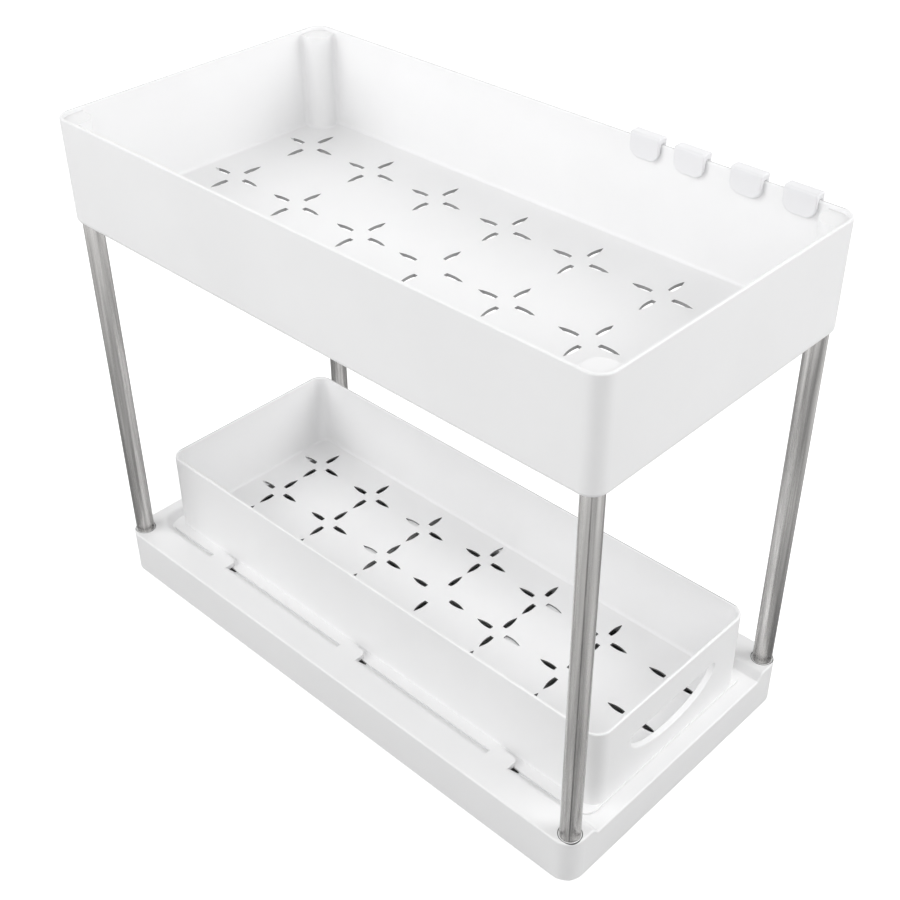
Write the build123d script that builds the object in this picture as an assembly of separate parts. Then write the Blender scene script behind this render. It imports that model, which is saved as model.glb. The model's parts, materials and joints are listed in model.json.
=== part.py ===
from build123d import *
import os

# Two-tier under sink organizer. All sizes are in millimetres, and heights start at the base's underside.
# The long sides run front to back along Y, the front is at -Y, and the hooks hang on the +X wall.

# Outline that both tiers share
plan_width = 204.0
plan_length = 400.0

# Posts
tube_outer = 12.0
tube_wall = 0.8
post_inset_x = 9.2           # post centre to the long outer face
post_inset_y = 8.2           # post centre to the short outer face
bore_clearance = 0.05        # radial, post in its socket or column

# Upper tray
stand_height = 334.6         # rim over the base's underside
tray_height = 66.0
tray_corner = 10.0
tray_wall = 2.0
tray_floor = 2.0
tray_bottom_round = 3.0
column_wall = 3.05           # plastic round a post
column_below_rim = 2.4
column_cap = 2.4             # closed end over a post
column_blend = 2.5
floor_blend = 2.0            # inside corner between floor and walls
rim_round = 0.9

# Star slots: arms that start blunt near the star's middle and end in a point
star_columns = 7
tray_star_end = 27.9         # last star to the short inner wall
tray_star_side = 37.6        # outer row to the long inner wall
tray_arm_inner = 7.0
tray_arm_outer = 20.5
tray_middle_spread = 4.5     # the middle star's arms stand further out
drawer_star_end = 25.2
drawer_star_side = 26.4
drawer_arm_inner = 5.7
drawer_arm_outer = 18.3
drawer_middle_spread = 5.0
arm_half_inner = 1.4
arm_half_widest = 1.85
arm_widest_after = 3.5       # from the blunt end to the widest place
arm_corner = 0.5

# Base frame
rail_top = 31.0
base_corner = 12.0
base_skirt = 2.4             # outer wall
base_plate = 2.4             # thickness of the top surfaces
base_edge_round = 1.2
rail_width = 24.5            # runway's foot to the long outer face
rear_rail = 13.0             # runway's foot to the rear outer face
runway_depth = 4.8
runway_corner = 8.0
runway_slope = 4.5           # how far the runway's side leans out
runway_edge_round = 4.0
runway_foot_round = 1.0
post_seat = 4.0              # a post's foot over the underside
socket_wall = 3.15
mouth_collar = 0.5           # thin ring of plastic left round a post
mouth_radius = 7.0           # outer side of the narrow groove round that ring
mouth_depth = 1.5

# Openings in the runway floor, with a stiffening lip round each
side_ledge = 17.0
rear_ledge = 16.0
front_deck = 17.0
cross_member = 17.0
cross_spacing = 131.0
window_corner = 3.0
lip_wall = 2.0
lip_depth = 6.0

# Hold-down tabs over the drawer's flange
tab_pitch = 126.9
tab_row_centre = -1.35
tabs_each_side = 3
tab_length = 16.6
tab_reach = 4.5              # over the runway, from its foot
tab_root = 7.5               # into the rail, from the runway's foot
tab_corner = 3.8
tab_opening_outer = 4.0      # the opening under a tab goes this far into the rail
tab_opening_front = 4.0      # and tapers off this far past the tab's front end

# Drawer
slide_gap = 0.2              # under the drawer
tab_gap = 0.3                # between flange and tab
flange_side_gap = 1.0
flange_rear_gap = 0.5
flange_front_setback = 9.7   # behind the base's front face
flange_thickness = 1.2
flange_corner = 9.0
wall_from_flange_side = 7.1
wall_from_flange_rear = 1.5
wall_from_flange_front = 0.5
drawer_top = 84.2
drawer_corner = 10.0
drawer_wall = 2.0
handle_half_length = 40.0
handle_drop = 19.0           # depth of the slot's curved lower edge
handle_below_rim = 20.7      # straight upper edge under the rim
handle_shoulder = 2.5        # straight ends over the curve
handle_corner = 2.4
handle_collar = 2.5          # width of the thickened edge
handle_collar_depth = 2.0
handle_edge_round = 0.8

# Hooks on the far long wall
hook_1_from_front = 33.0
hook_2_from_front = 65.5
hook_3_from_front = 101.7
hook_4_from_front = 131.2
hook_width = 20.0
hook_thickness = 2.5
hook_side_gap = 0.3
hook_crown = 3.8             # over the rim
hook_inner_drop = 10.8
hook_outer_drop = 34.0
hook_curl = 6.0              # inside radius of the hook's bend
hook_tip = 8.0
hook_tip_flat = 0.1          # left between the tip's two rounded edges
hook_lip_corner = 6.5        # inner lip's lower corners
hook_edge_round = 1.0
hook_crown_round = 1.6

# Anti-slip pads
pad_radius = 7.0
pad_height = 2.0
pad_proud = 0.8
pad_clearance = 0.1
pad_edge_round = 0.4

# Places worked out from the sizes above
half_width = plan_width / 2
half_length = plan_length / 2
post_x = half_width - post_inset_x
post_y = half_length - post_inset_y
post_places = {
    "front_left": (-post_x, -post_y),
    "front_right": (post_x, -post_y),
    "rear_left": (-post_x, post_y),
    "rear_right": (post_x, post_y),
}
tray_bottom = stand_height - tray_height
tray_floor_top = tray_bottom + tray_floor
column_top = stand_height - column_below_rim
post_top = column_top - column_cap
bore_radius = tube_outer / 2 + bore_clearance
deck_top = rail_top - runway_depth
deck_under = deck_top - base_plate
runway_half = half_width - rail_width
runway_rear = half_length - rear_rail
floor_low = deck_top + slide_gap
floor_top = floor_low + flange_thickness
flange_half = runway_half - flange_side_gap
flange_front = -half_length + flange_front_setback
flange_rear = runway_rear - flange_rear_gap
drawer_half = flange_half - wall_from_flange_side
drawer_front = flange_front + wall_from_flange_front
drawer_rear = flange_rear - wall_from_flange_rear
drawer_centre = (drawer_front + drawer_rear) / 2
runway_centre = (flange_front + flange_rear) / 2
tab_under = floor_top + tab_gap
hook_bend_drop = hook_outer_drop - hook_curl - hook_thickness
hook_strip_inside = half_width + hook_side_gap
hook_strip_outside = hook_strip_inside + hook_thickness
hook_reach = hook_strip_outside + 2 * hook_curl + hook_thickness
hooks_from_front = (hook_1_from_front, hook_2_from_front, hook_3_from_front, hook_4_from_front)
past = 10.0                  # how far a cutter runs past what it cuts
same_place = 1e-4            # two places nearer than this count as one


def slab(width, length, radius, low, high, centre_y=0.0):
    """A block with rounded upright corners, between two heights."""
    return Pos(0, centre_y, low) * extrude(RectangleRounded(width, length, radius), high - low)


def rectangle_between(x_low, x_high, y_low, y_high):
    """A rectangle from its corners."""
    return Pos((x_low + x_high) / 2, (y_low + y_high) / 2) * Rectangle(x_high - x_low, y_high - y_low)


def post_cylinders(radius, low, high):
    """The same upright cylinder at all four posts."""
    upright = Cylinder(radius, high - low, align=(Align.CENTER, Align.CENTER, Align.MIN))
    return [Pos(x, y, low) * upright for x, y in post_places.values()]


def edges_at_height(shape, height):
    """The edges that lie flat at one height."""
    return shape.edges().filter_by(lambda edge: all(abs(v.Z - height) < same_place for v in edge.vertices()))


def upright_blend_edges(shape, low, high):
    """The upright edges where a post's column meets a wall."""
    def stands(edge):
        heights = sorted(v.Z for v in edge.vertices())
        near_post = post_x - bore_radius - 2 * column_wall < abs(edge.center().X)
        near_post = near_post and post_y - bore_radius - 2 * column_wall < abs(edge.center().Y)
        full_height = abs(heights[0] - low) < same_place and abs(heights[-1] - high) < same_place
        return near_post and full_height
    joined = [e for e in shape.edges().filter_by(Axis.Z) if stands(e)]
    return ShapeList(joined)


def arm_outline(inner, outer):
    """One slot of a star, along +X: blunt inner end, curved flanks, pointed outer end."""
    flank = ThreePointArc(
        (inner, arm_half_inner), (inner + arm_widest_after, arm_half_widest), (outer, 0)
    )
    blunt = Line((inner, -arm_half_inner), (inner, arm_half_inner))
    outline = make_face([blunt, flank, mirror(flank, about=Plane.XZ)])
    return fillet(outline.vertices().sort_by(Axis.X)[:2], arm_corner)


def star_slots(outline, x, y, low, high, spread=0.0):
    """The four slots of one star."""
    arm = extrude(outline, high - low)
    return [Pos(x, y, low) * Rot(0, 0, 90 * turn) * Pos(spread, 0, 0) * arm for turn in range(4)]


def star_field(outline, row_x, pitch_y, centre_y, low, high, middle_spread, middle_shift=0.0):
    """Three rows of stars; the middle column's centre star is spread, its others may be shifted."""
    slots = []
    for column in range(star_columns):
        place = column - (star_columns - 1) / 2
        middle = place == 0
        for row in (-1, 0, 1):
            shift = row * middle_shift if middle else 0.0
            spread = middle_spread if middle and row == 0 else 0.0
            slots += star_slots(
                outline, row * row_x + shift, centre_y + place * pitch_y, low, high, spread
            )
    return slots


def make_upper_tray():
    """Open tray with four hollow columns that take the posts."""
    block = slab(plan_width, plan_length, tray_corner, tray_bottom, stand_height)
    block = fillet(edges_at_height(block, tray_bottom), tray_bottom_round)
    inner_width = plan_width - 2 * tray_wall
    inner_length = plan_length - 2 * tray_wall
    hollow = slab(
        inner_width, inner_length, tray_corner - tray_wall, tray_floor_top, stand_height
    )
    hollow -= post_cylinders(bore_radius + column_wall, tray_bottom, column_top)
    hollow = fillet(upright_blend_edges(hollow, tray_floor_top, column_top), column_blend)
    hollow = fillet(edges_at_height(hollow, tray_floor_top), floor_blend)
    tray = block - hollow
    tray = fillet(edges_at_height(tray, stand_height), rim_round)
    tray -= post_cylinders(bore_radius, tray_bottom - past, post_top)
    row_x = inner_width / 2 - tray_star_side
    pitch_y = (inner_length - 2 * tray_star_end) / (star_columns - 1)
    return tray - star_field(
        arm_outline(tray_arm_inner, tray_arm_outer),
        row_x, pitch_y, 0.0, tray_bottom - past, tray_floor_top + past, tray_middle_spread,
    )


def runway_cutter():
    """The drawer's sunk runway: leaning sides, rounded rear corners, open past the front."""
    lean = runway_slope / runway_depth
    sections = []
    for rise in (0.0, runway_depth + past):
        out = rise * lean
        front = -half_length - 2 * past
        rear = runway_rear + out
        outline = RectangleRounded(2 * (runway_half + out), rear - front, runway_corner + out)
        sections.append(Pos(0, (rear + front) / 2, deck_top + rise) * outline)
    return loft(sections, ruled=True)


def inside_edges(shape, height):
    """The edges at one height that belong to the runway and not to the outline."""
    def inside(edge):
        centre = edge.center()
        return abs(centre.X) < half_width - base_corner and abs(centre.Y) < half_length - same_place
    return edges_at_height(shape, height).filter_by(inside)


def windows():
    """The three openings in the runway floor: low y, high y."""
    front = -half_length + front_deck
    rear = runway_rear - rear_ledge
    bar_front = runway_centre - cross_spacing / 2
    bar_rear = runway_centre + cross_spacing / 2
    half_bar = cross_member / 2
    return [
        (front, bar_front - half_bar),
        (bar_front + half_bar, bar_rear - half_bar),
        (bar_rear + half_bar, rear),
    ]


def tab_centres():
    """Where the hold-down tabs sit along the rails."""
    middle = (tabs_each_side - 1) / 2
    return [tab_row_centre + (i - middle) * tab_pitch for i in range(tabs_each_side)]


def base_edge_loop(frame):
    """The top edges of the outer walls, with the front's stepped profile."""
    walls = frame.faces().filter_by(
        lambda face: face.bounding_box().min.Z < same_place
        and face.bounding_box().size.Z > deck_top - same_place
    )
    return ShapeList(e for wall in walls for e in wall.edges() if e.center().Z > deck_top - same_place)


def window_slabs(grow, low, high):
    """The openings in the runway floor as blocks, made larger all round by grow."""
    width = 2 * (runway_half - side_ledge + grow)
    return [
        slab(width, rear - front + 2 * grow, window_corner + grow, low, high, (front + rear) / 2)
        for front, rear in windows()
    ]


def base_hollow():
    """The room inside the base: under the runway and up into the rails."""
    width = plan_width - 2 * base_skirt
    length = plan_length - 2 * base_skirt
    corner = base_corner - base_skirt
    room = slab(width, length, corner, -past, deck_under)
    rails = slab(width, length, corner, 0, rail_top - base_plate)
    runway_edge = runway_slope + base_plate
    rails -= Pos(0, runway_rear + runway_edge, 0) * Box(
        2 * (runway_half + runway_edge), 2 * plan_length, 2 * rail_top,
        align=(Align.CENTER, Align.MAX, Align.CENTER),
    )
    room += rails
    room -= window_slabs(lip_wall, deck_under - lip_depth, deck_under)
    return room - post_cylinders(bore_radius + socket_wall, -past, rail_top)


def tab_plate():
    """A hold-down tab on the +X rail, with rounded free corners."""
    half = tab_length / 2
    outline = rectangle_between(runway_half - tab_reach, runway_half + tab_root, -half, half)
    outline = fillet(outline.vertices().sort_by(Axis.X)[:2], tab_corner)
    return Pos(0, 0, tab_under) * extrude(outline, rail_top - tab_under)


def tab_opening():
    """The opening under a tab, which tapers off past the tab's front end and shows there."""
    half = tab_length / 2
    outline = rectangle_between(
        runway_half - tab_reach, runway_half + tab_opening_outer, -half - tab_opening_front, half
    )
    outer_front = outline.vertices().sort_by(Axis.X)[-2:].sort_by(Axis.Y)[0]
    outline = chamfer(outer_front, tab_opening_front)
    return Pos(0, 0, -past) * extrude(outline, rail_top + 2 * past)


def mouth_grooves():
    """The narrow grooves round the four sockets' mouths."""
    low, high = rail_top - mouth_depth, rail_top + past
    collars = post_cylinders(bore_radius + mouth_collar, low, high)
    return [disc - collar for disc, collar in zip(post_cylinders(mouth_radius, low, high), collars)]


def make_base_frame():
    """Hollow base with rails, runway, sockets and hold-down tabs."""
    frame = slab(plan_width, plan_length, base_corner, 0, rail_top) - runway_cutter()
    frame = fillet(inside_edges(frame, rail_top), runway_edge_round)
    frame = fillet(inside_edges(frame, deck_top), runway_foot_round)
    frame = fillet(base_edge_loop(frame), base_edge_round)
    frame -= base_hollow()
    frame -= window_slabs(0, -past, rail_top)
    frame -= post_cylinders(bore_radius, post_seat, rail_top + past)
    frame -= mouth_grooves()
    frame -= post_cylinders(pad_radius + pad_clearance, -past, pad_height - pad_proud)
    plates = [tab_plate(), mirror(tab_plate(), about=Plane.YZ)]
    openings = [tab_opening(), mirror(tab_opening(), about=Plane.YZ)]
    frame -= [Pos(0, y, 0) * opening for y in tab_centres() for opening in openings]
    frame += [Pos(0, y, 0) * plate for y in tab_centres() for plate in plates]
    return frame


def handle_block(grow, rear, front):
    """The finger slot's shape between two places along Y, made larger all round by grow."""
    half = handle_half_length + grow
    drop = handle_drop + grow
    shoulder = handle_shoulder + grow
    outline = Ellipse(half, drop) & Pos(0, -half) * Rectangle(2 * half, 2 * half)
    outline += Pos(0, shoulder / 2) * Rectangle(2 * half, shoulder)
    outline = fillet(outline.vertices().sort_by(Axis.Y)[-2:], handle_corner + grow)
    height = drawer_top - handle_below_rim - handle_shoulder
    upright = Plane(origin=(0, rear, height), x_dir=(1, 0, 0), z_dir=(0, -1, 0))
    return upright * extrude(outline, rear - front)


def handle_edges(drawer, collar_rear):
    """The edges of the finger slot and of its thickened rim."""
    grow = handle_collar + handle_edge_round
    top = drawer_top - handle_below_rim
    bottom = top - handle_shoulder - handle_drop

    def shows(edge):
        flat = any(
            all(abs(v.Y - y) < same_place for v in edge.vertices()) for y in (drawer_front, collar_rear)
        )
        across = abs(edge.center().X) < handle_half_length + grow
        return flat and across and bottom - grow < edge.center().Z < top + grow
    return drawer.edges().filter_by(shows)


def make_drawer():
    """Drawer with a flat flange round its floor and a finger slot in front."""
    width = 2 * drawer_half
    length = drawer_rear - drawer_front
    drawer = slab(width, length, drawer_corner, floor_low, drawer_top, drawer_centre)
    drawer += slab(
        2 * flange_half, flange_rear - flange_front, flange_corner, floor_low, floor_top, runway_centre
    )
    inner_width = width - 2 * drawer_wall
    inner_length = length - 2 * drawer_wall
    hollow = slab(
        inner_width, inner_length, drawer_corner - drawer_wall, floor_top, drawer_top, drawer_centre
    )
    drawer -= fillet(edges_at_height(hollow, floor_top), floor_blend)
    drawer = fillet(edges_at_height(drawer, drawer_top), rim_round)
    collar_rear = drawer_front + drawer_wall + handle_collar_depth
    drawer += handle_block(handle_collar, collar_rear, drawer_front + drawer_wall / 2)
    drawer -= handle_block(0, collar_rear + past, drawer_front - past)
    drawer = fillet(handle_edges(drawer, collar_rear), handle_edge_round)
    row_x = inner_width / 2 - drawer_star_side
    pitch_y = (inner_length - 2 * drawer_star_end) / (star_columns - 1)
    return drawer - star_field(
        arm_outline(drawer_arm_inner, drawer_arm_outer),
        row_x, pitch_y, runway_centre, floor_low - past, floor_top + past,
        drawer_middle_spread, drawer_middle_spread,
    )


def make_post(x, y):
    """A post from its seat in the base to the closed end of its column."""
    length = post_top - post_seat
    seat = (Align.CENTER, Align.CENTER, Align.MIN)
    tube = Cylinder(tube_outer / 2, length, align=seat)
    tube -= Cylinder(tube_outer / 2 - tube_wall, length, align=seat)
    return Pos(x, y, post_seat) * tube


def hook_profile():
    """The hook seen along the rim: crown, outer strip, bend and tip."""
    lip_inside = half_width - tray_wall - hook_side_gap - hook_thickness
    bend_height = stand_height - hook_bend_drop
    bend_x = hook_strip_outside + hook_curl
    crown_top = stand_height + hook_crown
    crown = rectangle_between(lip_inside, hook_strip_outside, stand_height, crown_top)
    crown = fillet(crown.vertices().sort_by(Axis.Y)[-2:], hook_crown_round)
    strip = rectangle_between(hook_strip_inside, hook_strip_outside, bend_height, stand_height)
    bend_outside = hook_curl + hook_thickness
    bend = Circle(bend_outside) - Circle(hook_curl)
    bend &= rectangle_between(-2 * bend_outside, 2 * bend_outside, -2 * bend_outside, 0)
    tip = rectangle_between(
        hook_reach - hook_thickness, hook_reach, bend_height, bend_height + hook_tip
    )
    tip = fillet(tip.vertices().sort_by(Axis.Y)[-2:], (hook_thickness - hook_tip_flat) / 2)
    return crown + strip + Pos(bend_x, bend_height) * bend + tip


def make_hook(y):
    """A hook over the far long wall, with a rounded lip inside the tray."""
    half = hook_width / 2
    upright = Plane(origin=(0, y + half, 0), x_dir=(1, 0, 0), z_dir=(0, -1, 0))
    hook = upright * extrude(hook_profile(), hook_width)
    lip = Pos(0, -hook_inner_drop / 2) * Rectangle(hook_width, hook_inner_drop)
    lip = fillet(lip.vertices().sort_by(Axis.Y)[:2], hook_lip_corner)
    lip_x = half_width - tray_wall - hook_side_gap
    inward = Plane(origin=(lip_x, y, stand_height), x_dir=(0, -1, 0), z_dir=(-1, 0, 0))
    hook += inward * extrude(lip, hook_thickness)

    def shows(edge):
        corners = edge.vertices()
        at_end = all(abs(abs(v.Y - y) - half) < same_place for v in corners)
        at_end = at_end and abs(abs(edge.center().Y - y) - half) < same_place
        on_lip = all(abs(v.X - lip_x + hook_thickness) < same_place for v in corners)
        return at_end or on_lip
    return fillet(hook.edges().filter_by(shows), hook_edge_round)


def make_pad(x, y):
    """A round pad let into the underside of a socket."""
    pad = Cylinder(pad_radius, pad_height, align=(Align.CENTER, Align.CENTER, Align.MIN))
    pad = fillet(edges_at_height(pad, 0), pad_edge_round)
    return Pos(x, y, -pad_proud) * pad


# The origin is the middle of the footprint, with the hooks counted, at the height of the pads' feet
origin_shift = Pos(-(hook_reach - half_width) / 2, 0, pad_proud)

pieces = {
    "upper_tray": make_upper_tray(),
    "base_frame": make_base_frame(),
    "drawer": make_drawer(),
}
for place, (post_at_x, post_at_y) in post_places.items():
    pieces["tube_" + place] = make_post(post_at_x, post_at_y)
    pieces["foot_pad_" + place] = make_pad(post_at_x, post_at_y)
for number, from_front in enumerate(hooks_from_front, start=1):
    pieces["hook_" + str(number)] = make_hook(from_front - half_length)

os.makedirs("parts", exist_ok=True)
for node, piece in pieces.items():
    export_step(origin_shift * piece, "parts/" + node + ".step")
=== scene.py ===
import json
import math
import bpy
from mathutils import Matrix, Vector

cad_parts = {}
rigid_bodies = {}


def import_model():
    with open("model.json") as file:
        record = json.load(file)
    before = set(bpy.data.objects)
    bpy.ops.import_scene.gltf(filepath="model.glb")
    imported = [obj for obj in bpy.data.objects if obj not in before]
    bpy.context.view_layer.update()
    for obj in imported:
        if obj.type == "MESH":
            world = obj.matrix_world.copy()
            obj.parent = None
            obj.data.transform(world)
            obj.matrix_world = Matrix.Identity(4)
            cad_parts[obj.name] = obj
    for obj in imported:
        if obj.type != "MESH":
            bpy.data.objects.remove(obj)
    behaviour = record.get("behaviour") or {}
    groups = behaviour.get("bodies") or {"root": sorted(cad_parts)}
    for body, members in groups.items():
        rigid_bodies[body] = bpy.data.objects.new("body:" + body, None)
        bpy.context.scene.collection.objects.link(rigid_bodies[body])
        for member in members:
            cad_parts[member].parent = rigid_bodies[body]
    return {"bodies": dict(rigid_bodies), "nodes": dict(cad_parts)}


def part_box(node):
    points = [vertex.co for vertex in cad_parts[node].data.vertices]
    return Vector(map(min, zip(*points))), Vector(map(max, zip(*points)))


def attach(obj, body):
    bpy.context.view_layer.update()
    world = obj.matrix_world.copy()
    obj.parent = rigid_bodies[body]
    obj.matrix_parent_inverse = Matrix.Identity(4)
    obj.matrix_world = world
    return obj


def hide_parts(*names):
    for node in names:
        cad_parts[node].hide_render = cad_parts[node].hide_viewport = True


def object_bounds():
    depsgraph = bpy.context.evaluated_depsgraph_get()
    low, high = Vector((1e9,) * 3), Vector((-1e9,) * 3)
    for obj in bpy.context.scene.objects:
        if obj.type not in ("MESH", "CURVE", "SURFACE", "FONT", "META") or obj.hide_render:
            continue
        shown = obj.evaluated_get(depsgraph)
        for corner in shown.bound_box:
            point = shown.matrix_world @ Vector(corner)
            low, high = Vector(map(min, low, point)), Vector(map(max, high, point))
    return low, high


bl_info = {
    "name": "Under Sink Organizer",
    "version": (1, 0, 0),
    "blender": (4, 5, 0),
    "location": "View3D > Sidebar > Organizer",
    "description": "Dresses a tiered under sink organizer: moulded plastic, steel posts, hooks and pads",
    "category": "Object",
}

import bmesh
import bpy
from bpy.props import FloatProperty, FloatVectorProperty, IntProperty, PointerProperty
from mathutils import Euler, Vector

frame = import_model()
cad_low, cad_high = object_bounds()

STAND = "stand"
POSTS = ("front_left", "front_right", "rear_left", "rear_right")
HOOKS = ("hook_1", "hook_2", "hook_3", "hook_4")
MM = 0.001

# Sizes of the mouldings that the nodes' boxes don't give
TRAY_FLOOR = 2.0 * MM
TRAY_CORNER = 10.0 * MM
DRAWER_FLOOR = 1.2 * MM
DRAWER_CORNER = 10.0 * MM
# How far the drawer's flange stands out past its rim
FLANGE_SIDE = 7.1 * MM
FLANGE_REAR = 1.5 * MM
# How far the tops of the tray's columns lie below its rim
COLUMN_DROP = 2.4 * MM
# How far a hook stands out from the tray's wall at the rim
HOOK_STRIP = 2.8 * MM
# The ring of painted shade that takes in the narrow groove round a post's foot: middle radius, half
# width, depth
GROOVE_RADIUS = 6.8 * MM
GROOVE_HALF = 0.35 * MM
GROOVE_DEPTH = 1.6 * MM

# A face is a wall where its normal's upright part is under this, and level where it is over
LEVEL_NORMAL = 0.5
# How near a height has to be to count as met
HEIGHT_SLACK = 0.1 * MM
# An edge this far off, in metres, takes no part in a rim's line of painted shade
OUT_OF_REACH = 1.0
# Most of a noise lies between these two
NOISE_LOW, NOISE_HIGH = 0.3, 0.7

# Which way each post's weld seam faces, in degrees round from +X
SEAM_TURNS = {"front_left": -145.5, "front_right": 60.0, "rear_left": 20.0, "rear_right": 140.0}

# Soft lamps as seen from the object's middle: bearing round from +X and height over level, in degrees
LAMPS = {
    "left_middle": (145.0, 27.0),
    "left_high": (145.0, 42.0),
    "right_middle": (305.0, 27.0),
    "right_high": (305.0, 42.0),
    "side_middle": (190.0, 28.0),
    "front_middle": (265.0, 30.0),
    "near_high": (225.0, 40.0),
    "back_high": (45.0, 42.0),
}
# Each lamp's distance from the object's middle and its size, in metres
LAMP_DISTANCE = 1.8
LAMP_SIZE = 1.2
# Half the floor's width, in metres
FLOOR_HALF = 6.0


class MouldingSettings(bpy.types.PropertyGroup):
    """Finish of the white mouldings."""

    colour: FloatVectorProperty(
        name="Plastic colour", description="Colour of the tray, base and drawer",
        subtype="COLOR", size=3, min=0, max=1, default=(0.90, 0.90, 0.903),
    )
    # Painted shade: the hooks' colour is the white plastic made darker, so that they look less lit
    hook_shaded_colour: FloatVectorProperty(
        name="Hook colour", description="Colour of the hooks", subtype="COLOR", size=3,
        min=0, max=1, default=(0.83, 0.83, 0.843),
    )
    roughness: FloatProperty(
        name="Roughness", description="How matt the plastic is", min=0, max=1, default=0.34
    )
    # Painted shade: the cut sides of the tray's and the drawer's slots are painted darker, standing in
    # for the shade inside the slots
    tray_slot_painted_shade: FloatProperty(
        name="Tray slot shade", description="Brightness of the cut sides of the tray's slots",
        min=0, max=1, default=0.42,
    )
    drawer_slot_painted_shade: FloatProperty(
        name="Drawer slot shade", description="Brightness of the cut sides of the drawer's slots",
        min=0, max=1, default=0.28,
    )
    # Painted shade: a thin grey line on the outer edge of the far and rear rims, standing in for the
    # shade on their rounding
    rim_painted_shade: FloatProperty(
        name="Rim shade", description="Brightness of the thin line on the far and rear rims' outer edge",
        min=0, max=1, default=0.60,
    )
    shade_line_width: FloatProperty(
        name="Rim line", description="Width of that line", unit="LENGTH", min=0, default=0.0013
    )
    # Painted shade: the closed tops of the tray's columns are painted a little darker than the rest of
    # the plastic, to tone down the light on them
    column_top_painted_shade: FloatProperty(
        name="Column shade", description="Brightness of the closed tops of the tray's columns",
        min=0, max=1, default=0.93,
    )
    # Painted shade: the inside of the groove round each post's foot is painted dark, standing in for the
    # shade in it
    groove_painted_shade: FloatProperty(
        name="Groove shade", description="Brightness inside the narrow groove round each post's foot",
        min=0, max=1, default=0.12,
    )
    grain: FloatProperty(
        name="Grain", description="Size of the satin grain left by the mould",
        unit="LENGTH", min=0.0001, max=0.01, default=0.0009,
    )
    ripple: FloatProperty(
        name="Ripple", description="Size of the gentle unevenness of the moulded walls",
        unit="LENGTH", min=0.005, max=0.2, default=0.045,
    )


class PostSettings(bpy.types.PropertyGroup):
    """Size and finish of the steel posts."""

    outer: FloatProperty(
        name="Diameter", description="Outer diameter of a post", unit="LENGTH",
        default=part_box("tube_front_left")[1].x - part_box("tube_front_left")[0].x,
    )
    wall: FloatProperty(
        name="Wall", description="Thickness of a post's wall", unit="LENGTH", default=0.0008
    )
    seam_width: FloatProperty(
        name="Seam width", description="Width of the weld seam's groove", unit="LENGTH",
        default=0.0007,
    )
    seam_depth: FloatProperty(
        name="Seam depth", description="Depth of the weld seam's groove", unit="LENGTH",
        default=0.00012,
    )
    segments: IntProperty(
        name="Segments", description="Facets round a post", min=24, default=96
    )
    colour: FloatVectorProperty(
        name="Steel colour", description="Colour of the brushed steel", subtype="COLOR",
        size=3, min=0, max=1, default=(0.58, 0.57, 0.56),
    )
    roughness: FloatProperty(
        name="Roughness", description="How soft the steel's reflections are", min=0, max=1,
        default=0.24,
    )


def lamp_power(name, watts):
    """A lamp's power, as a property that can be changed."""
    return FloatProperty(
        name=name, description="Power of this lamp", unit="POWER", min=0, default=watts
    )


class StageSettings(bpy.types.PropertyGroup):
    """Camera, floor and light."""

    camera_place: FloatVectorProperty(
        name="Camera place", description="Where the photograph was taken from",
        subtype="TRANSLATION", unit="LENGTH", size=3, default=(-0.50105, -0.48963, 0.65452),
    )
    camera_angles: FloatVectorProperty(
        name="Camera angles", description="How the camera is turned about X, Y and Z",
        subtype="EULER", size=3,
        default=(math.radians(53.708), math.radians(0.413), math.radians(-46.290)),
    )
    lens: FloatProperty(
        name="Lens", description="Focal length on a frame 36 mm wide", unit="CAMERA",
        default=56.37,
    )
    floor_colour: FloatVectorProperty(
        name="Floor colour", description="Colour of the pale floor", subtype="COLOR", size=3,
        min=0, max=1, default=(0.50, 0.50, 0.50),
    )
    floor_glow: FloatProperty(
        name="Floor glow", description="White added to the floor where the camera or a mirror sees it",
        min=0, max=1, default=0.8,
    )
    # Painted shadow: in mirrors the floor's white is left off near the base and fades in only away from
    # it
    glow_start: FloatProperty(
        name="Glow start", description="How far from the base the mirrored floor starts to glow",
        unit="LENGTH", min=0, default=0.05,
    )
    glow_full: FloatProperty(
        name="Glow full", description="How far from the base the mirrored floor glows in full",
        unit="LENGTH", min=0.01, default=4.0,
    )
    ambient: FloatProperty(
        name="Ambient", description="Strength of the even light from all round", min=0,
        default=0.3,
    )
    power_left_middle: lamp_power("Middle left lamp", 8.1)
    power_left_high: lamp_power("High left lamp", 6.7)
    power_right_middle: lamp_power("Middle right lamp", 13.1)
    power_right_high: lamp_power("High right lamp", 5.1)
    power_side_middle: lamp_power("Middle side lamp", 5.1)
    power_front_middle: lamp_power("Middle front lamp", 1.3)
    power_near_high: lamp_power("High near lamp", 4.4)
    power_back_high: lamp_power("High back lamp", 5.4)


def clear_scene():
    """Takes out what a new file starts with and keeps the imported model."""
    kept = set(frame["nodes"].values()) | set(frame["bodies"].values())
    for thing in list(bpy.data.objects):
        if thing not in kept:
            bpy.data.objects.remove(thing)


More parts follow.
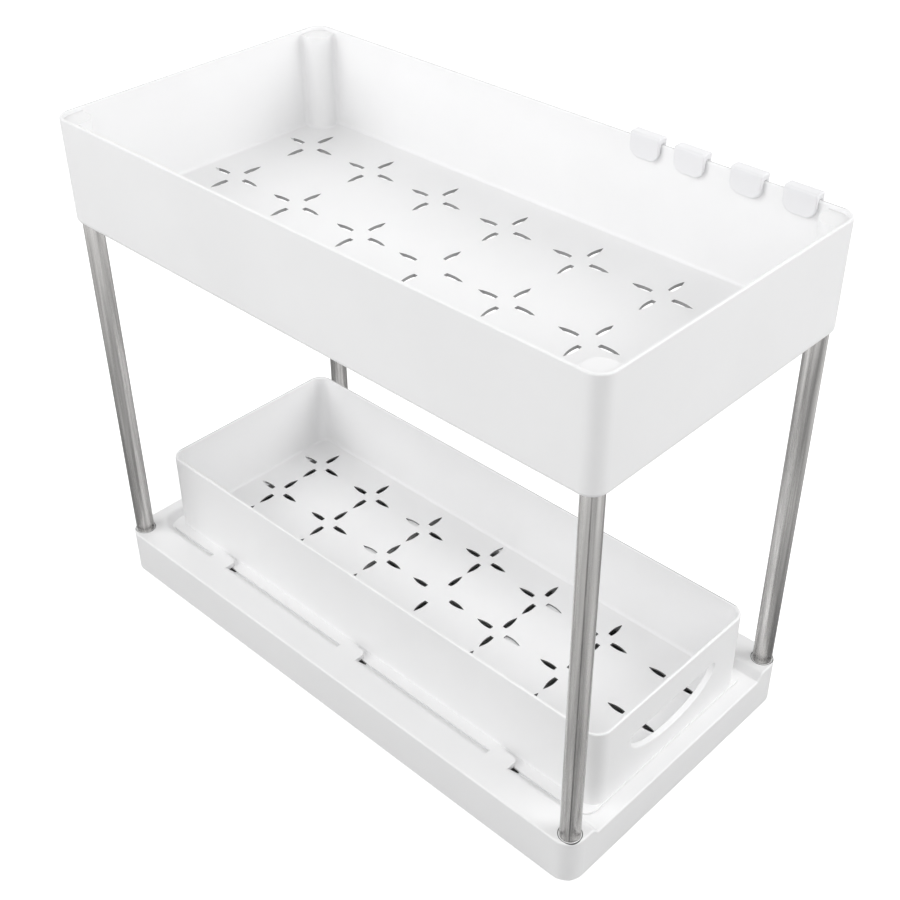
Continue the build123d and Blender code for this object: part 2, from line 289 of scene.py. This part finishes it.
class Nodes:
    """Builds the nodes of a material or of the world from plain calls."""

    def __init__(self, owner, output):
        owner.use_nodes = True
        self.owner = owner
        self.tree = owner.node_tree
        self.tree.nodes.clear()
        self.output = self.add(output)

    def feed(self, socket, value):
        """Links a socket to another node's, or sets it to a plain number or colour."""
        if isinstance(value, bpy.types.NodeSocket):
            self.tree.links.new(value, socket)
        elif socket.type == "RGBA":
            socket.default_value = (*value, 1.0)
        else:
            socket.default_value = value

    def add(self, kind, **sockets):
        """Adds a node and feeds the sockets that are named, with _ for a space."""
        node = self.tree.nodes.new("ShaderNode" + kind)
        for name, value in sockets.items():
            self.feed(node.inputs[name.replace("_", " ")], value)
        return node

    def math(self, operation, first, second=0.0):
        """The result of one sum on numbers or other nodes' results."""
        node = self.add("Math")
        node.operation = operation
        for socket, value in zip(node.inputs, (first, second)):
            self.feed(socket, value)
        return node.outputs[0]

    def length(self, first, second):
        """The straight distance over two runs at right angles."""
        squares = [self.math("MULTIPLY", run, run) for run in (first, second)]
        return self.math("SQRT", self.math("ADD", *squares))

    def where(self):
        """X, Y and Z of the surface's place on the object, in metres."""
        return self.add("SeparateXYZ", Vector=self.add("TexCoord").outputs["Object"]).outputs

    def upright(self):
        """The upright part of the surface's normal, one where it looks straight up."""
        normal = self.add("NewGeometry").outputs["True Normal"]
        return self.add("SeparateXYZ", Vector=normal).outputs["Z"]

    def noise(self, size, detail=2.0, roughness=0.5, along=1.0):
        """Even noise with features of about this size in metres, drawn out in Z if along is small."""
        mapping = self.add("Mapping", Vector=self.add("TexCoord").outputs["Object"])
        mapping.inputs["Scale"].default_value = (1.0, 1.0, along)
        node = self.add(
            "TexNoise", Vector=mapping.outputs["Vector"], Scale=1.0 / size, Detail=detail,
            Roughness=roughness,
        )
        return node.outputs["Fac"]

    def between(self, noise, low, high):
        """A noise spread between two numbers."""
        node = self.add(
            "MapRange", Value=noise, From_Min=NOISE_LOW, From_Max=NOISE_HIGH, To_Min=low, To_Max=high
        )
        return node.outputs["Result"]

    def mix(self, share, low, high):
        """A colour between two others; each may be plain or come from another node."""
        node = self.add("Mix")
        node.data_type = "RGBA"
        colours = [socket for socket in node.inputs if socket.type == "RGBA"]
        self.feed(node.inputs[0], share)
        for socket, colour in zip(colours, (low, high)):
            self.feed(socket, colour)
        return next(socket for socket in node.outputs if socket.type == "RGBA")

    def tint(self, noise, low, high):
        """A colour between two others, by noise."""
        return self.mix(self.between(noise, 0.0, 1.0), low, high)

    def bump(self, height, strength, distance, **normal):
        """A normal roughened by a height, on top of another normal if Normal is given."""
        node = self.add("Bump", Height=height, Strength=strength, Distance=distance, **normal)
        return node.outputs["Normal"]

    def finish(self, shader):
        """Shows this shader and gives back the material or the world."""
        self.feed(self.output.inputs["Surface"], shader.outputs[0])
        return self.owner


def new_material(name):
    """An empty material, to be filled with nodes."""
    return Nodes(bpy.data.materials.new(name), "OutputMaterial")


def shade(colour, factor):
    """A colour made darker or lighter, no lighter than white."""
    return tuple(min(1.0, channel * factor) for channel in colour)


def painted_slot_shade(nodes, node, floor_thickness):
    """One on the cut sides of the slots in a node's floor, where painted shade goes, nought elsewhere.
    """
    low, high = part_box(node)
    clear_of_walls = 12 * MM
    where = nodes.where()
    inside = nodes.math("LESS_THAN", nodes.math("ABSOLUTE", nodes.upright()), LEVEL_NORMAL)
    tests = (
        ("LESS_THAN", "Z", low.z + floor_thickness),
        ("GREATER_THAN", "X", low.x + clear_of_walls),
        ("LESS_THAN", "X", high.x - clear_of_walls),
        ("GREATER_THAN", "Y", low.y + clear_of_walls),
        ("LESS_THAN", "Y", high.y - clear_of_walls),
    )
    for test, axis, edge in tests:
        inside = nodes.math("MULTIPLY", inside, nodes.math(test, where[axis], edge))
    return inside


def far_rim_painted_shade(nodes, far, rear, top, corner, width):
    """One on the outer edge of a rim's far and rear stretches and the round corner between them, where a
    thin line of painted shade goes.
    """
    where = nodes.where()
    runs = [
        nodes.math("MAXIMUM", nodes.math("SUBTRACT", where[axis], edge - corner), 0.0)
        for axis, edge in (("X", far), ("Y", rear))
    ]
    line = nodes.math("GREATER_THAN", nodes.length(*runs), corner - width)
    return nodes.math("MULTIPLY", line, nodes.math("GREATER_THAN", where["Z"], top - width / 2))


def level_faces(nodes, height):
    """One on faces that look up at this height, nought elsewhere."""
    facing = nodes.math("GREATER_THAN", nodes.upright(), LEVEL_NORMAL)
    off = nodes.math("ABSOLUTE", nodes.math("SUBTRACT", nodes.where()["Z"], height))
    return nodes.math("MULTIPLY", facing, nodes.math("LESS_THAN", off, HEIGHT_SLACK))


def painted_groove_rings(nodes):
    """One inside the narrow groove round each post's foot, where painted shade goes, nought elsewhere.
    """
    where = nodes.where()
    first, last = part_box("tube_front_left"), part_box("tube_rear_right")
    runs = []
    for number, axis in enumerate("XY"):
        start, end = ((low[number] + high[number]) / 2 for low, high in (first, last))
        off = nodes.math("ABSOLUTE", nodes.math("SUBTRACT", where[axis], (start + end) / 2))
        runs.append(nodes.math("SUBTRACT", off, (end - start) / 2))
    out = nodes.math("SUBTRACT", nodes.length(*runs), GROOVE_RADIUS)
    ring = nodes.math("LESS_THAN", nodes.math("ABSOLUTE", out), GROOVE_HALF)
    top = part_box("base_frame")[1].z
    for test, height in (("LESS_THAN", top - HEIGHT_SLACK), ("GREATER_THAN", top - GROOVE_DEPTH)):
        ring = nodes.math("MULTIPLY", ring, nodes.math(test, where["Z"], height))
    return ring


def moulded_plastic(name, colour, settings, slots=None, rim=None, tops=None, groove_shaded=False):
    """White satin plastic: fine mould grain, gently uneven walls, faint cloudiness; where asked, painted
    shade on the slots' sides, the rims' outer edge, the columns' tops and the posts' grooves.
    """
    cloud_size = 1.6 * settings.ripple
    cloud_dark, cloud_light = 0.985, 1.012
    rough_spread = 0.05
    nodes = new_material(name)
    cloud = nodes.noise(cloud_size, detail=3.0)
    grain = nodes.noise(settings.grain, detail=2.0, roughness=0.6)
    ripple = nodes.noise(settings.ripple, detail=1.0)
    uneven = nodes.bump(ripple, strength=0.12, distance=1.2 * MM)
    surface = nodes.bump(grain, strength=0.10, distance=0.04 * MM, Normal=uneven)
    base = nodes.tint(cloud, shade(colour, cloud_dark), shade(colour, cloud_light))
    # Painted shade on the slots' cut sides
    if slots:
        node, floor_thickness, brightness = slots
        base = nodes.mix(painted_slot_shade(nodes, node, floor_thickness), base, shade(colour, brightness))
    # Painted shade along the far and rear rims' outer edge
    if rim:
        line = far_rim_painted_shade(nodes, *rim, settings.shade_line_width)
        base = nodes.mix(line, base, shade(colour, settings.rim_painted_shade))
    # Painted shade on the columns' tops
    if tops:
        base = nodes.mix(level_faces(nodes, tops), base, shade(colour, settings.column_top_painted_shade))
    # Painted shade inside the posts' grooves
    if groove_shaded:
        base = nodes.mix(painted_groove_rings(nodes), base, shade(colour, settings.groove_painted_shade))
    rough = nodes.between(grain, settings.roughness - rough_spread, settings.roughness + rough_spread)
    return nodes.finish(nodes.add(
        "BsdfPrincipled", Base_Color=base, Roughness=rough, Normal=surface,
        IOR=1.49, Specular_IOR_Level=0.35,
    ))


def brushed_steel(name, settings):
    """Stainless tube polished lengthwise, with fine streaks along it and with bands along it that are
    partly the steel's own random tone and partly painted reflection.
    """
    # The bands' light and dark are partly the steel's own random tone and partly painted reflection
    band_dark, band_light = 0.55, 1.50
    smoother, rougher = 0.07, 0.09
    nodes = new_material(name)
    streak = nodes.noise(1.1 * MM, detail=4.0, roughness=0.7, along=0.012)
    tone_and_reflection_band = nodes.noise(4.2 * MM, detail=2.0, along=0.03)
    return nodes.finish(nodes.add(
        "BsdfPrincipled",
        Base_Color=nodes.tint(
            tone_and_reflection_band, shade(settings.colour, band_dark), shade(settings.colour, band_light)
        ),
        Roughness=nodes.between(streak, settings.roughness - smoother, settings.roughness + rougher),
        Normal=nodes.bump(streak, strength=0.18, distance=0.06 * MM),
        Metallic=1.0,
    ))


def seam_steel(name, settings):
    """The weld seam: darker, duller steel."""
    mottle_dark, mottle_light = 0.40, 0.60
    nodes = new_material(name)
    mottle = nodes.noise(2.0 * MM, detail=3.0, along=0.15)
    return nodes.finish(nodes.add(
        "BsdfPrincipled",
        Base_Color=nodes.tint(
            mottle, shade(settings.colour, mottle_dark), shade(settings.colour, mottle_light)
        ),
        Roughness=nodes.between(mottle, low=0.42, high=0.6),
        Metallic=1.0,
    ))


def pad_rubber(name):
    """Matt dark grey rubber with a fine skin."""
    nodes = new_material(name)
    skin = nodes.noise(0.6 * MM, detail=3.0)
    return nodes.finish(nodes.add(
        "BsdfPrincipled",
        Base_Color=nodes.tint(skin, low=(0.07, 0.07, 0.072), high=(0.10, 0.10, 0.102)),
        Roughness=nodes.between(skin, low=0.7, high=0.85),
        Normal=nodes.bump(skin, strength=0.3, distance=0.05 * MM),
    ))


def dress(node, material):
    """Gives a CAD node its material."""
    materials = frame["nodes"][node].data.materials
    materials.clear()
    materials.append(material)


class ORGANIZER_OT_mouldings(bpy.types.Operator):
    """Finish the upper tray, the base frame and the drawer in white satin plastic"""

    bl_idname = "organizer.mouldings"
    bl_label = "Tray, Base and Drawer"

    def execute(self, context):
        settings = context.scene.organizer_moulding
        dress("base_frame", moulded_plastic("white_plastic", settings.colour, settings, groove_shaded=True))
        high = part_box("upper_tray")[1]
        dress("upper_tray", moulded_plastic(
            "tray_plastic", settings.colour, settings,
            slots=("upper_tray", TRAY_FLOOR, settings.tray_slot_painted_shade),
            rim=(high.x, high.y, high.z, TRAY_CORNER), tops=high.z - COLUMN_DROP,
        ))
        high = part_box("drawer")[1]
        dress("drawer", moulded_plastic(
            "drawer_plastic", settings.colour, settings,
            slots=("drawer", DRAWER_FLOOR, settings.drawer_slot_painted_shade),
            rim=(high.x - FLANGE_SIDE, high.y - FLANGE_REAR, high.z, DRAWER_CORNER),
        ))
        return {"FINISHED"}


class ORGANIZER_OT_hooks(bpy.types.Operator):
    """Finish the hooks on the far wall"""

    bl_idname = "organizer.hooks"
    bl_label = "Hooks"

    def execute(self, context):
        settings = context.scene.organizer_moulding
        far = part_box("upper_tray")[1].x + HOOK_STRIP
        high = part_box(HOOKS[0])[1]
        # The hooks: the white plastic painted darker as painted shade, with the thin line of painted
        # shade on their far edge
        plastic = moulded_plastic(
            "hook_plastic", settings.hook_shaded_colour, settings,
            rim=(far, high.y + OUT_OF_REACH, high.z, HOOK_STRIP),
        )
        for node in HOOKS:
            dress(node, plastic)
        return {"FINISHED"}


def post_section(radius, seam_width, seam_depth, seam_angle, segments):
    """Outline of a post, as angles and radii: the seam's deepest point, then the round."""
    half = seam_width / 2 / radius
    outline = [(seam_angle, radius - seam_depth)]
    clear = 2 * math.pi - 2 * half
    for step in range(segments + 1):
        outline.append((seam_angle + half + clear * step / segments, radius))
    return outline


def make_post(name, low, high, seam_angle, settings, metal, seam):
    """A post with real wall thickness and a shallow weld seam along it."""
    centre = (low + high) / 2
    radius = settings.outer / 2
    bore = radius - settings.wall
    outline = post_section(
        radius, settings.seam_width, settings.seam_depth, seam_angle, settings.segments
    )
    count = len(outline)
    bevel = 0.15 * MM
    levels = (
        (low.z, -bevel),
        (low.z + bevel, 0.0),
        (centre.z, 0.0),
        (high.z - bevel, 0.0),
        (high.z, -bevel),
    )
    mesh = bmesh.new()

    def ring(points, height):
        return [
            mesh.verts.new((
                centre.x + distance * math.cos(angle), centre.y + distance * math.sin(angle), height,
            ))
            for angle, distance in points
        ]

    rings = [
        ring([(angle, distance + inset) for angle, distance in outline], height)
        for height, inset in levels
    ]
    rings += [ring([(angle, bore) for angle, _ in outline], height) for height in (high.z, low.z)]
    for number, (first, second) in enumerate(zip(rings, rings[1:] + rings[:1])):
        outside = number + 1 < len(levels)
        for i in range(count):
            j = (i + 1) % count
            face = mesh.faces.new((first[i], first[j], second[j], second[i]))
            face.smooth = True
            # the seam's groove is the faces on both sides of the outline's first point
            face.material_index = 1 if outside and (i == 0 or j == 0) else 0
    bmesh.ops.recalc_face_normals(mesh, faces=mesh.faces)
    data = bpy.data.meshes.new(name)
    mesh.to_mesh(data)
    mesh.free()
    data.materials.append(metal)
    data.materials.append(seam)
    post = bpy.data.objects.new(name, data)
    bpy.context.scene.collection.objects.link(post)
    return post


class ORGANIZER_OT_posts(bpy.types.Operator):
    """Build the four steel posts with their weld seams"""

    bl_idname = "organizer.posts"
    bl_label = "Steel Posts"

    def execute(self, context):
        settings = context.scene.organizer_post
        metal = brushed_steel("stainless_tube", settings)
        seam = seam_steel("stainless_seam", settings)
        for place in POSTS:
            node = "tube_" + place
            low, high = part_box(node)
            post = make_post(
                "post_" + place, low, high, math.radians(SEAM_TURNS[place]), settings, metal, seam
            )
            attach(post, STAND)
            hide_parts(node)
        return {"FINISHED"}


class ORGANIZER_OT_foot_pads(bpy.types.Operator):
    """Finish the rubber pads under the base"""

    bl_idname = "organizer.foot_pads"
    bl_label = "Foot Pads"

    def execute(self, context):
        rubber = pad_rubber("pad_rubber")
        for place in POSTS:
            dress("foot_pad_" + place, rubber)
        return {"FINISHED"}


def distance_from_base(nodes):
    """How far a point of the floor lies outside the base, counted from inside its skirt, in metres."""
    low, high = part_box("base_frame")
    inside_skirt = 6 * MM
    where = nodes.where()
    runs = []
    for axis, first, last in (("X", low.x, high.x), ("Y", low.y, high.y)):
        off = nodes.math("ABSOLUTE", nodes.math("SUBTRACT", where[axis], (first + last) / 2))
        off = nodes.math("SUBTRACT", off, (last - first) / 2 - inside_skirt)
        runs.append(nodes.math("MAXIMUM", off, 0.0))
    return nodes.length(*runs)


def stage_floor(settings):
    """Wide pale floor with white added outside the base, in mirrors only some way off it: the missing
    white under the base and near it is painted shadow of the object.
    """
    nodes = new_material("stage_floor")
    paint = nodes.add("BsdfDiffuse", Color=settings.floor_colour)
    rays = nodes.add("LightPath").outputs
    distance = distance_from_base(nodes)
    # Painted shadow: no white under the base, and in mirrors the white fades in only away from the base
    outside = nodes.math("GREATER_THAN", distance, 0.0)
    shadow_fade = nodes.add(
        "MapRange", Value=distance, From_Min=settings.glow_start, From_Max=settings.glow_full
    )
    shadow_fade.interpolation_type = "SMOOTHSTEP"
    seen = nodes.math("MAXIMUM", rays["Is Camera Ray"], rays["Is Transmission Ray"])
    seen = nodes.math("MULTIPLY", seen, outside)
    mirrored = nodes.math("MULTIPLY", rays["Is Glossy Ray"], shadow_fade.outputs["Result"])
    strength = nodes.math("MULTIPLY", nodes.math("MAXIMUM", seen, mirrored), settings.floor_glow)
    glow = nodes.add("Emission", Color=(1.0, 1.0, 1.0), Strength=strength)
    both = nodes.add("AddShader")
    for socket, shader in zip(both.inputs, (paint, glow)):
        nodes.feed(socket, shader.outputs[0])
    corners = [
        (x * FLOOR_HALF, y * FLOOR_HALF, 0.0) for x, y in ((-1, -1), (1, -1), (1, 1), (-1, 1))
    ]
    data = bpy.data.meshes.new("stage_floor")
    data.from_pydata(corners, [], [(0, 1, 2, 3)])
    data.materials.append(nodes.finish(both))
    floor = bpy.data.objects.new("stage_floor", data)
    bpy.context.scene.collection.objects.link(floor)


def stage_world(settings):
    """Even surroundings: white to the camera and in mirrors, softer as light."""
    nodes = Nodes(bpy.data.worlds.new("stage_world"), "OutputWorld")
    rays = nodes.add("LightPath").outputs
    seen = nodes.math("MAXIMUM", rays["Is Camera Ray"], rays["Is Transmission Ray"])
    seen = nodes.math("MAXIMUM", seen, rays["Is Glossy Ray"])
    strength = nodes.add("MapRange", Value=seen, To_Min=settings.ambient, To_Max=1.0)
    sky = nodes.add("Background", Color=(1.0, 1.0, 1.0), Strength=strength.outputs["Result"])
    bpy.context.scene.world = nodes.finish(sky)


def softbox(name, bearing, height, power):
    """A large square soft lamp that faces the object's middle."""
    lamp = bpy.data.lights.new(name, "AREA")
    lamp.shape = "SQUARE"
    lamp.size = LAMP_SIZE
    lamp.energy = power
    middle = Vector((0.0, 0.0, cad_high.z / 2))
    out = Vector((1.0, 0.0, 0.0))
    out.rotate(Euler((0.0, -math.radians(height), math.radians(bearing))))
    box = bpy.data.objects.new(name, lamp)
    box.location = middle + LAMP_DISTANCE * out
    box.rotation_euler = (-out).to_track_quat("-Z", "Y").to_euler()
    bpy.context.scene.collection.objects.link(box)


def stage_camera(settings):
    """The camera, where the photograph was taken from."""
    lens = bpy.data.cameras.new("camera")
    lens.sensor_width = 36.0
    lens.lens = settings.lens
    lens.clip_start, lens.clip_end = 0.01, 50.0
    camera = bpy.data.objects.new("camera", lens)
    camera.location = settings.camera_place
    camera.rotation_euler = Euler(settings.camera_angles)
    bpy.context.scene.collection.objects.link(camera)
    bpy.context.scene.camera = camera


class ORGANIZER_OT_stage(bpy.types.Operator):
    """Set up the floor, the soft lights and the camera"""

    bl_idname = "organizer.stage"
    bl_label = "Stage"

    def execute(self, context):
        settings = context.scene.organizer_stage
        stage_floor(settings)
        stage_world(settings)
        for name, (bearing, height) in LAMPS.items():
            softbox("lamp_" + name, bearing, height, getattr(settings, "power_" + name))
        stage_camera(settings)
        context.scene.view_settings.view_transform = "Standard"
        return {"FINISHED"}


class ORGANIZER_PT_panel(bpy.types.Panel):
    """Lists the steps that dress the organizer"""

    bl_idname = "ORGANIZER_PT_panel"
    bl_label = "Under Sink Organizer"
    bl_space_type = "VIEW_3D"
    bl_region_type = "UI"
    bl_category = "Organizer"

    def draw(self, context):
        for step in STEPS:
            self.layout.operator(step.bl_idname)


STEPS = (
    ORGANIZER_OT_mouldings,
    ORGANIZER_OT_hooks,
    ORGANIZER_OT_posts,
    ORGANIZER_OT_foot_pads,
    ORGANIZER_OT_stage,
)
SETTINGS = {
    "organizer_moulding": MouldingSettings,
    "organizer_post": PostSettings,
    "organizer_stage": StageSettings,
}


def register():
    for group in SETTINGS.values():
        bpy.utils.register_class(group)
    for name, group in SETTINGS.items():
        setattr(bpy.types.Scene, name, PointerProperty(type=group))
    for step in STEPS:
        bpy.utils.register_class(step)
    bpy.utils.register_class(ORGANIZER_PT_panel)


def unregister():
    bpy.utils.unregister_class(ORGANIZER_PT_panel)
    for step in reversed(STEPS):
        bpy.utils.unregister_class(step)
    for name in SETTINGS:
        delattr(bpy.types.Scene, name)
    for group in reversed(list(SETTINGS.values())):
        bpy.utils.unregister_class(group)


def main():
    clear_scene()
    register()
    bpy.ops.organizer.mouldings()
    bpy.ops.organizer.hooks()
    bpy.ops.organizer.posts()
    bpy.ops.organizer.foot_pads()
    bpy.ops.organizer.stage()


if __name__ == "__main__":
    main()
